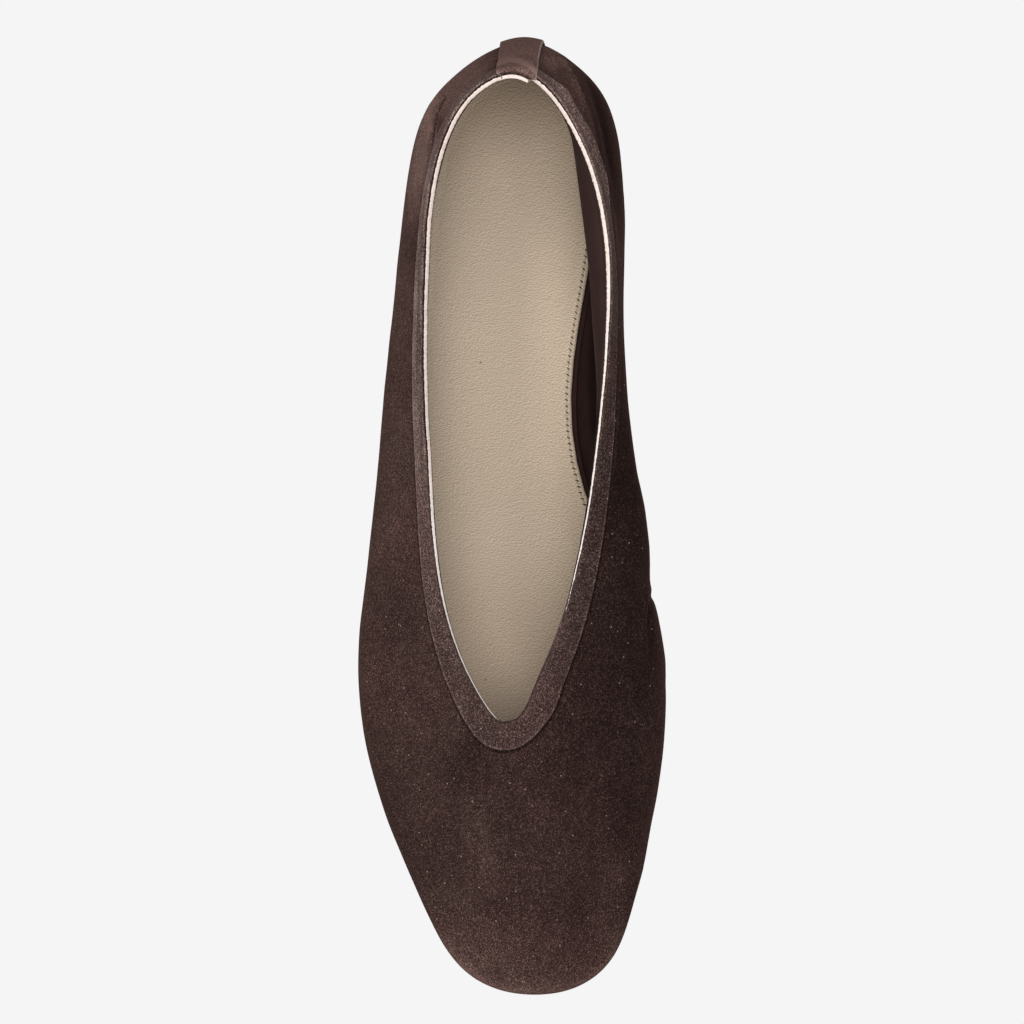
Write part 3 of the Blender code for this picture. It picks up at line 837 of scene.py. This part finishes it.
def paintCutEdge(piece):
    # where the cut edge is cream: above 0 inside the cream's borders, below 0 in the dark beside it, a
    # painted shadow where it is not the facing's or the band's colour
    sizes = rimSizes
    places = points(piece)
    across = painted(piece, "across")
    along = alongOf(places)
    medial = smoothStep(places[:, 0] / sizes["middle"] + 0.5 + rising(along, *sizes["tip"]))
    waist = medial * rising(along, *sizes["waist"])
    front = medial * rising(along, *sizes["front"])
    low = sizes["shadowGap"] * (1 - waist) * (1 - rising(along, *sizes["shadowGapCloses"]))
    high = sizes["cream"] - sizes["waistLess"] * waist - sizes["frontLess"] * front
    high -= medial * rising(along, *sizes["archLess"]) + (1 - medial) * rising(along, *sizes["lateralLess"])
    paint(piece, "edgeTone", np.minimum(across - low, high - across))
    paint(piece, "lined", 1 - rising(along, *sizes["lined"]))
    paint(piece, "turned", smoothStep(front / sizes["turnedTone"]))
    into = np.zeros_like(places)
    for face in piece.data.polygons:
        if face.material_index == 2 and face.center.z > upperSizes["rimAbove"]:
            into[list(face.vertices)] += np.array((face.normal.x, face.normal.y, 0.0))
            if front[list(face.vertices)].mean() > sizes["turnedFrom"]:
                face.material_index = 3         # bandSuede
    into /= np.maximum(np.linalg.norm(into, axis=1), 1e-9)[:, None]
    slanted = rising(along, *sizes["slantAt"])
    # painted light on the inner side at the front
    paint(piece, "across", across * (1 - sizes["brighter"] * slanted))
    setPoints(piece, places + into * (sizes["slant"] * across * slanted)[:, None])


def onWall(places):
    # the nearest places of the outer face, and the way out of it there
    found = [outerFace.find_nearest(Vector(place)) for place in places]
    return np.array([hit[0] for hit in found]), np.array([hit[1] for hit in found])


def soleTop(y):
    # height of the outsole's top along the shoe, read from its CAD node
    places = points(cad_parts["outsole"])
    steps = upperSizes["soleSteps"]
    ends = np.linspace(places[:, 1].min(), places[:, 1].max(), steps + 1)
    step = np.clip(np.digitize(places[:, 1], ends) - 1, 0, steps - 1)
    filled = sorted(set(step))
    middle = (ends[:-1] + ends[1:]) / 2
    return np.interp(y, middle[filled], [places[step == i, 2].max() for i in filled])


def settleUpper(piece, bandEdge):
    places = points(piece)
    onFace, outwards = onWall(places)
    aboveSole = places[:, 2] - soleTop(places[:, 1])
    shift = creaseShift(onFace) * smoothStep(aboveSole / upperSizes["stillSole"])
    moved = places + outwards * shift[:, None]
    setPoints(piece, moved)
    lift, ridgeAt, ridgeShadeBy = ridgeLightAndShade(moved)
    # the lift: brush marks, with painted light and shade by how the wall faces and beside the ridges
    paint(piece, "brushedAndPaintedLight", brushAndHighlightOf(moved) + paintedWallLight(places, outwards) + lift)
    paint(piece, "ridgeAt", ridgeAt)
    paint(piece, "ridgeShadeBy", ridgeShadeBy)
    paint(piece, "pastBand", pastBand(places, bandEdge))
    finishPiece(piece, "upper_suede", "upper")


# Topline band: the CAD strip with soft edges, pressed into the upper

bandSizes = {
    "sharp": math.radians(50),
    "crisp": 0.45,
    "down": 0.72 * mm,
    "edgePoints": 8,
    "middle": (-4, 4),              # the lateral side turns into the medial one between these
    "waist": ((25, 40), (100, 130)),            # along the shoe, where it begins and where it ends
    "marks": 0.4,                   # how much of the upper's brush marks and painted highlight shows on it
    "wallLightShare": 0.7,                     # and of the painted light and shade by how its walls face
    "medialStreaks": 0.5,
    "pastMost": 5.0,                # the distance past its outer edge is read up to this, in millimetres
}

# how much lighter its nap is, by place along the shoe in millimetres: brushed nap, with painted light on
# the lateral side
bandBrushAndLight = {
    "lateral": [(0, 0.32), (15, 0.36), (40, 0.50), (110, 0.45), (130, 0.20), (165, -0.10), (190, -0.10)],
    "medial": [(0, 0.50), (15, 0.65), (60, 0.52), (95, 0.12), (140, 0.02), (165, -0.06), (190, -0.06)],
}
# painted highlights by share of its width from the topline: along its edges, and the lateral side's outer
# half
bandHighlights = {"outer": (0.84, 1.0, 0.75), "top": (0.18, 0.0, 0.25), "half": (0.35, 0.65, 0.40)}


def rowsFrom(ring, faces):
    # the vertices of a strip of faces in rows, counted from the ring at its end
    rows, seen = [set(ring)], set(ring)
    while rows[-1]:
        touching = {face for vertex in rows[-1] for face in vertex.link_faces if face in faces}
        rows.append({vertex for face in touching for vertex in face.verts} - seen)
        seen |= rows[-1]
    return rows[:-1]


def pressDown(piece, down):
    # moves a strip into the upper, and with the upper's creases
    places = points(piece)
    onFace, outwards = onWall(places)
    setPoints(piece, places + outwards * (creaseShift(onFace) - down)[:, None])
    return places, outwards


def startBand():
    # the band with its rows counted from the topline, and points along its outer edge with their way out
    piece = copyOfNode("topline_band", "toplineBand", bandSuede)
    groups = regionsAtSharpEdges(piece, bandSizes["sharp"])
    shape = openShape(piece)
    height = [np.mean([shape.faces[i].calc_center_median().z for i in group]) for group in groups]
    top = groups[2] if height[2] > height[3] else groups[3]
    ring = {vertex for i in top for vertex in shape.faces[i].verts}
    rows = rowsFrom(ring, {shape.faces[i] for group in groups[:2] for i in group})
    down = np.zeros(len(shape.verts))
    for k, row in enumerate(rows):
        down[[vertex.index for vertex in row]] = k / (len(rows) - 1)
    wayOut = {}
    for vertex in rows[-1]:
        others = {edge.other_vert(vertex) for edge in vertex.link_edges} & rows[-2]
        wayOut[vertex] = sum((vertex.co - other.co for other in others), Vector()).normalized()
    edgePoints = []
    for edge in shape.edges:
        a, b = edge.verts
        if a in rows[-1] and b in rows[-1]:
            for k in range(bandSizes["edgePoints"]):
                share = k / bandSizes["edgePoints"]
                edgePoints.append((a.co.lerp(b.co, share), wayOut[a].lerp(wayOut[b], share)))
    shape.free()
    paint(piece, "down", down)
    creaseGroups(piece, groups, bandSizes["crisp"])
    piece.data.polygons.foreach_set("material_index", [0] * len(piece.data.polygons))
    subdivide(piece, 2)
    setPoints(piece, openTip(points(piece)))
    edgePlaces = openTip(np.array([place for place, way in edgePoints]))
    return piece, [(Vector(place), way) for place, (_, way) in zip(edgePlaces, edgePoints)]


def pastBand(places, edgePoints):
    # how far each place is past the band's outer edge, in millimetres
    tree = searchTree([place for place, wayOut in edgePoints])
    past = []
    for place in places:
        nearest, i, apart = tree.find(place)
        past.append((Vector(place) - nearest).dot(edgePoints[i][1]) / mm)
    return np.clip(past, -bandSizes["pastMost"], bandSizes["pastMost"])


def finishBand(piece):
    places, outwards = pressDown(piece, bandSizes["down"])
    down = painted(piece, "down")
    along = alongOf(places)
    medial = rising(places[:, 0] / mm, *bandSizes["middle"])
    begins, ends = bandSizes["waist"]
    waist = rising(along, *begins) * (1 - rising(along, *ends))
    lift = bandSizes["marks"] * brushAndHighlightOf(places) + bandSizes["wallLightShare"] * paintedWallLight(places, outwards)
    for share, side in ((1 - medial, "lateral"), (medial, "medial")):
        lift += share * np.interp(along, *zip(*bandBrushAndLight[side]))
    # painted highlights along its edges and on the lateral side's outer half
    lift += rising(down, *bandHighlights["outer"]) + medial * rising(down, *bandHighlights["top"])
    lift += (1 - medial) * waist * rising(down, *bandHighlights["half"])
    paint(piece, "brushedAndPaintedLight", lift)
    paint(piece, "streaked", (1 - bandSizes["medialStreaks"] * medial) * waist)
    finishPiece(piece, "band_suede", "topline_band")


upper = makeUpper()
band, bandEdge = startBand()
settleUpper(upper, bandEdge)
finishBand(band)


# Heel tab: the CAD strip with raw edges at its sides, folded over the topline to a cream cut end

tabSizes = {
    "sharp": math.radians(60),
    "crisp": 0.7,
    "down": 0.15 * mm,                      # pressed into the upper
    "bandDown": 0.85 * mm,                  # and into the band
    "bandAt": (45.0 * mm, 53.0 * mm),       # heights between which the second takes over
    "end": (10.45, 0.025, 0.073),           # its end's curve: along = a + b side + c side squared
    "rawRight": 0.55 * mm, "rawLeft": 0.30 * mm,        # how far the raw edges slant out
    "rawFrom": 54.0 * mm,                   # the left one is raw above this height
    "creasesAt": (38.0 * mm, 42.0 * mm),    # heights between which the creases come in
    "lift": 1.6,
    "creamAcross": 0.3,                     # the cream's tone at its end
}

# its rows over the topline, from the inner end: past the end's curve and above the rim, in millimetres
tabFold = [
    {"row": "turned in", "outer": (1.0, -2.9), "inner": (0.5, -2.9)},
    {"row": "cream end", "outer": (1.0, 0.15), "inner": (0.4, -0.4)},
    {"row": "end of the suede", "outer": (0.0, 0.35), "inner": (-0.2, 0.0)},
    {"row": "shoulder", "outer": (-0.35, 0.95), "inner": (-0.5, 0.4)},
    {"row": "crest", "outer": (-0.95, 1.05), "inner": (-0.75, 0.45)},
    {"row": "back of the crest", "outer": (-1.55, 0.85), "inner": (-1.05, 0.35)},
]

# soft creases across it: past its end's curve and half width in millimetres, with the lift there, a painted
# highlight on the crest, and painted shade in the crease below it and where the end rolls down
tabCreaseLight = [(-3.8, 0.8, 1.5), (-2.7, 0.45, -0.35), (-0.2, 0.7, -1.5)]


def tabEnd(side):
    a, b, c = tabSizes["end"]
    return a + b * side + c * side**2


def foldTab(piece, groups):
    # presses the strip down, then sets the rows that go over the topline
    outer, inner = groups[:2]
    more = tabSizes["bandDown"] - tabSizes["down"]
    pressDown(piece, tabSizes["down"] + rising(points(piece)[:, 2], *tabSizes["bandAt"], more))
    shape = openShape(piece)
    corners = [{vertex for i in group for vertex in shape.faces[i].verts} for group in groups]
    ends = sorted(corners[2:], key=lambda group: np.mean([vertex.co.y for vertex in group]))
    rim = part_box("upper")[1].z
    for face, group, own in (("outer", outer, corners[0]), ("inner", inner, corners[1])):
        rows = rowsFrom(ends[0] & own, {shape.faces[i] for i in group})
        for fold, row in zip(tabFold, rows):
            past, above = fold[face]
            for vertex in row:
                vertex.co.y = heelBack - (tabEnd(vertex.co.x / mm) + past) * mm
                vertex.co.z = rim + above * mm
        if face == "outer":
            cream = [i for i in group if all(v in rows[1] or v in rows[2] for v in shape.faces[i].verts)]
    sides = sorted(corners[2:], key=lambda group: np.mean([vertex.co.x for vertex in group]))
    for vertex in sides[-1] & corners[1]:
        vertex.co.x += tabSizes["rawRight"]
    for vertex in sides[0] & corners[1]:
        if vertex.co.z > tabSizes["rawFrom"]:
            vertex.co.x -= tabSizes["rawLeft"]
    left, right = corners.index(sides[0]), corners.index(sides[-1])
    closeShape(shape, piece)
    return cream, left, right


def makeTab():
    piece = copyOfNode("heel_tab", "heelTab", suede, cutEdge, rawSuedeEdge)
    groups = regionsAtSharpEdges(piece, tabSizes["sharp"])
    highest = [max(piece.data.vertices[v].co.y for i in group for v in piece.data.polygons[i].vertices)
               for group in groups[:2]]
    if highest[1] > highest[0]:
        groups[0], groups[1] = groups[1], groups[0]         # the outer face comes first
    cream, left, right = foldTab(piece, groups)
    groups.append(cream)
    creaseGroups(piece, groups, tabSizes["crisp"])
    subdivide(piece, 2)
    for face in piece.data.polygons:
        group = face.material_index
        raw = group == right or (group == left and face.center.z > tabSizes["rawFrom"])
        face.material_index = 1 if group == len(groups) - 1 else 2 if raw else 0
    places = points(piece)
    past = alongOf(places) - tabEnd(places[:, 0] / mm)
    # painted highlight and shade across the tab's creases
    creaseLight = sum(rise * np.exp(-((past - at) / width)**2) for at, width, rise in tabCreaseLight)
    paint(piece, "brushedAndPaintedLight", tabSizes["lift"] + creaseLight * rising(places[:, 2], *tabSizes["creasesAt"]))
    paint(piece, "pastBand", np.full(len(places), -bandSizes["pastMost"]))
    paint(piece, "edgeTone", np.ones(len(places)))
    paint(piece, "across", np.full(len(places), tabSizes["creamAcross"]))
    finishPiece(piece, "tab_suede", "heel_tab")


makeTab()


# Facing: a strip of leather inside the opening, from the waist round the heel

facingSizes = {
    "end": 100.0,                   # how far along the shoe it reaches
    "rings": 3,                     # rows of the wall that it covers
    "clear": 0.35 * mm,
    "thick": 0.7 * mm,
    "buried": 0.9 * mm,             # how far its top goes into the wall
    "lower": 0.5,                   # and how far down, as a share of that
    "emerges": 1.6,                 # how soon it comes out of the wall below that
    "leansAt": (8, 22),             # along the shoe, where the medial side begins to lean inwards
    "leansFrom": 8 * mm,            # from the middle line
    # the medial side's free edge: along and side
    "freeEdge": [(104, 24.2), (95, 23.0), (76, 21.4), (61, 20.4), (42, 18.0), (25, 15.9), (16, 13.6),
                 (8, 11.0)],
}


def makeFacing():
    # the top rows of the wall's inner face, set off from it, leaning inwards on the medial side
    sizes = facingSizes
    piece = copyOfNode("upper", "innerFacing", facingLeather)
    _, inner, *edges = regionsAtSharpEdges(piece, upperSizes["sharp"])
    shape = openShape(piece)
    wall = {shape.faces[i] for i in inner}
    rimEdges = max(edges, key=lambda edge: np.mean([shape.faces[i].calc_center_median().z for i in edge]))
    ring = {vertex for i in rimEdges for vertex in shape.faces[i].verts
            if any(face in wall for face in vertex.link_faces)}
    depth = {vertex: 0 for vertex in ring}
    kept = set()
    for k in range(sizes["rings"]):
        row = {face for face in wall - kept if any(vertex in ring for vertex in face.verts)}
        kept |= row
        ring = {vertex for face in row for vertex in face.verts if vertex not in depth}
        for vertex in ring:
            depth[vertex] = k + 1
    reach = heelBack - sizes["end"] * mm
    kept = {face for face in kept if face.calc_center_median().y > reach}
    top = sorted((vertex.co.y, vertex.co.x) for vertex, k in depth.items() if k == 0 and vertex.co.x > 0)
    rimY, rimX = zip(*top)
    edgeY, edgeX = zip(*((heelBack - along * mm, side * mm) for along, side in sizes["freeEdge"]))
    for vertex, k in depth.items():
        share = k / sizes["rings"]
        out = smoothStep(sizes["emerges"] * share)
        vertex.co += vertex.normal * (sizes["clear"] * out - sizes["thick"] * (1 - out))
        buried = sizes["buried"] * (k == 0)
        lean = rising((heelBack - vertex.co.y) / mm, *sizes["leansAt"])
        if vertex.co.x > sizes["leansFrom"] and lean > 0:
            atRim, atEdge = np.interp(vertex.co.y, rimY, rimX), np.interp(vertex.co.y, edgeY, edgeX)
            wanted = min(vertex.co.x, atRim * (1 - share) + atEdge * share)
            vertex.co.x = vertex.co.x * (1 - lean) + wanted * lean + buried
        vertex.co.z -= sizes["lower"] * buried
    bmesh.ops.delete(shape, geom=[face for face in shape.faces if face not in kept], context="FACES")
    closeShape(shape, piece)
    applyModifier(piece, "SOLIDIFY", thickness=sizes["thick"], offset=1.0)
    subdivide(piece, 1)
    finishPiece(piece, "upper_suede")


makeFacing()


# Insole: rounded leather footbed with a stitched line inside its edge

insoleSizes = {
    "edge": 1.5 * mm, "groove": 0.45 * mm, "sunk": 0.14 * mm, "round": 0.35 * mm,
    "flat": 0.9,                    # a face that looks up more than this is its top
    "leather": 0.3,                 # and more than this is beige, while the steeper sides take the dark lining as painted shade
}
stitchSizes = {
    "pitch": 1.65 * mm,
    "medialInset": 0.75 * mm,
    "lateralInset": 0.05 * mm,
    "bow": 0.1 * mm,
    "thread": {"length": 1.25 * mm, "thick": 0.36 * mm, "slant": 0.25 * mm, "rise": -0.10 * mm},
    "hole": {"length": 0.95 * mm, "thick": 0.70 * mm, "slant": 0.9 * mm, "rise": -0.26 * mm},
}


def topLoop(piece):
    # the outline of the flat top, in order
    shape = openShape(piece)
    top = {face for face in shape.faces if face.normal.z > insoleSizes["flat"]}
    follow = {}
    for edge in shape.edges:
        if sum(face in top for face in edge.link_faces) == 1:
            a, b = edge.verts
            follow.setdefault(a, []).append(b)
            follow.setdefault(b, []).append(a)
    start = max(follow, key=lambda vertex: vertex.co.y)
    loop = [start]
    before, here = None, start
    while True:
        after = [vertex for vertex in follow[here] if vertex is not before][0]
        if after is start:
            break
        loop.append(after)
        before, here = here, after
    line = [vertex.co.copy() for vertex in loop]
    shape.free()
    return line


def stitchLine(line):
    # the outline moved inwards, further in on the medial side than on the lateral side
    moved = []
    area = sum(a.x * b.y - b.x * a.y for a, b in zip(line, line[1:] + line[:1]))
    turn = 1 if area > 0 else -1
    for i, here in enumerate(line):
        run = line[(i + 1) % len(line)] - line[i - 1]
        inwards = Vector((-run.y, run.x, 0.0)).normalized() * turn
        medial = smoothStep(0.5 - inwards.x)
        moved.append(here + inwards * (stitchSizes["lateralInset"] * (1 - medial)
                                       + stitchSizes["medialInset"] * medial))
    return moved


def evenPlaces(line, pitch):
    # places at an even pitch round a closed line, with the way the line runs there
    lengths = [(b - a).length for a, b in zip(line, line[1:] + line[:1])]
    total = sum(lengths)
    count = round(total / pitch)
    places = []
    i, gone = 0, 0.0
    for k in range(count):
        want = total * k / count
        while gone + lengths[i] < want:
            gone += lengths[i]
            i += 1
        a, b = line[i], line[(i + 1) % len(line)]
        places.append((a.lerp(b, (want - gone) / lengths[i]), (b - a).normalized()))
    return places


def makeInsole():
    piece = copyOfNode("insole", "beigeInsole", insoleLeather, lining)
    line = topLoop(piece)
    # the beige top, and the sides in the dark lining as painted shade
    for face in piece.data.polygons:
        face.material_index = 0 if face.normal.z > insoleSizes["leather"] else 1
    makeActive(piece)
    bpy.ops.object.mode_set(mode="EDIT")
    bpy.ops.mesh.select_all(action="DESELECT")
    bpy.ops.object.mode_set(mode="OBJECT")
    for face in piece.data.polygons:
        face.select = face.normal.z > insoleSizes["flat"]
    bpy.ops.object.mode_set(mode="EDIT")
    bpy.ops.mesh.select_mode(type="FACE")
    bpy.ops.mesh.inset(thickness=insoleSizes["edge"])
    for depth in (-insoleSizes["sunk"], insoleSizes["sunk"]):
        bpy.ops.mesh.inset(thickness=insoleSizes["groove"], depth=depth)
    bpy.ops.object.mode_set(mode="OBJECT")
    roundEdges(piece, insoleSizes["round"], 2)
    finishPiece(piece, "insole_leather", "insole")
    return line


def makeStitches(line):
    bpy.ops.object.select_all(action="DESELECT")
    bpy.ops.mesh.primitive_uv_sphere_add(segments=8, ring_count=6, radius=1.0)
    model = bpy.context.object
    bead = points(model)
    faces = [list(face.vertices) for face in model.data.polygons]
    bpy.data.objects.remove(model)
    up = Vector((0, 0, 1))
    vertices, polygons, kinds = [], [], []
    for i, (place, run) in enumerate(evenPlaces(stitchLine(line), stitchSizes["pitch"] / 2)):
        kind = i % 2                # a thread, then the needle hole that it goes into, a dark bead of painted shade
        sizes = stitchSizes["hole" if kind else "thread"]
        across = Vector((-run.y, run.x, 0.0)).normalized()
        first = len(vertices)
        for x, y, z in bead:
            bow = stitchSizes["bow"] * (1 - x * x)
            vertices.append(place + run * x * sizes["length"] / 2
                            + across * (y * sizes["thick"] + x * sizes["slant"]) / 2
                            + up * (z * sizes["thick"] / 2 + bow + sizes["rise"]))
        polygons += [[first + j for j in face] for face in faces]
        kinds += [kind] * len(faces)
    mesh = bpy.data.meshes.new("insoleStitches")
    mesh.from_pydata(vertices, [], polygons)
    mesh.materials.append(thread)
    mesh.materials.append(needleHoleShade)
    mesh.polygons.foreach_set("material_index", kinds)
    finishPiece(newObject("insoleStitches", mesh), "insole_leather")


insoleLine = makeInsole()
makeStitches(insoleLine)


# Outsole and heel: CAD shapes with rounded edges

soleSizes = {"round": 0.5 * mm, "lined": 0.9}       # a face that looks up more than lined shows inside
heelSizes = {"round": 0.6 * mm, "lined": 0.9}


def makeBlock(node, name, sizes, look, slot):
    piece = copyOfNode(node, name, look, lining)
    for face in piece.data.polygons:
        face.material_index = int(face.normal.z > sizes["lined"])
    roundEdges(piece, sizes["round"], 3)
    finishPiece(piece, slot, node)


makeBlock("outsole", "leatherOutsole", soleSizes, soleLeather, "sole_leather")
makeBlock("heel", "lowHeel", heelSizes, heelLeather, "heel_stack")


# Floor, lights and camera

stageSizes = {"floor": 6.0, "below": 0.2 * mm, "shine": (0.913, 0.913, 0.913, 1.0)}
cameraSizes = {"distance": 9.0, "frame": 0.2675, "lift": 1.0 * mm, "sensor": 36.0}
airSizes = {"colour": (1.0, 1.0, 1.0, 1.0), "strength": 0.18}
softBoxes = [
    {"name": "topBox", "place": (0.10, 0.10, 1.25), "aim": (0, 0.05, 0), "size": (1.1, 1.1), "power": 18.5},
    {"name": "leftBox", "place": (-1.35, -0.35, 0.60), "aim": (0, 0, 0), "size": (0.8, 0.6), "power": 9.0},
]


def makeStage():
    bpy.ops.object.select_all(action="DESELECT")
    bpy.ops.mesh.primitive_plane_add(size=stageSizes["floor"], location=(0, 0, -stageSizes["below"]))
    floor = bpy.context.object
    floor.name = "paleFloor"
    lightTable = newMaterial("lightTable")[0]           # shines evenly, so no shadow lies on it
    floor.data.materials.append(dressed(lightTable, {
        "Base Color": (0.0, 0.0, 0.0, 1.0), "Specular IOR Level": 0.0,
        "Emission Color": stageSizes["shine"], "Emission Strength": 1.0}))
    floor.visible_diffuse = False           # it lights nothing


def makeLights():
    world = bpy.data.worlds.new("studioAir")
    world.use_nodes = True
    air = world.node_tree.nodes["Background"]
    setSockets(air, {"Color": airSizes["colour"], "Strength": airSizes["strength"]})
    bpy.context.scene.world = world
    for box in softBoxes:
        lamp = bpy.data.lights.new(box["name"], "AREA")
        lamp.shape = "RECTANGLE"
        lamp.size, lamp.size_y = box["size"]
        lamp.energy = box["power"]
        lit = newObject(box["name"], lamp)
        lit.location = box["place"]
        towards = Vector(box["aim"]) - Vector(box["place"])
        lit.rotation_euler = towards.to_track_quat("-Z", "Y").to_euler()


def makeCamera():
    lens = bpy.data.cameras.new("overhead")
    lens.sensor_width = cameraSizes["sensor"]
    lens.lens = cameraSizes["sensor"] * cameraSizes["distance"] / cameraSizes["frame"]
    camera = newObject("overhead", lens)
    camera.location = (0.0, cameraSizes["lift"], cameraSizes["distance"])
    bpy.context.scene.camera = camera


makeStage()
makeLights()
makeCamera()
bpy.context.scene.view_settings.view_transform = "Standard"
print("stage ready")
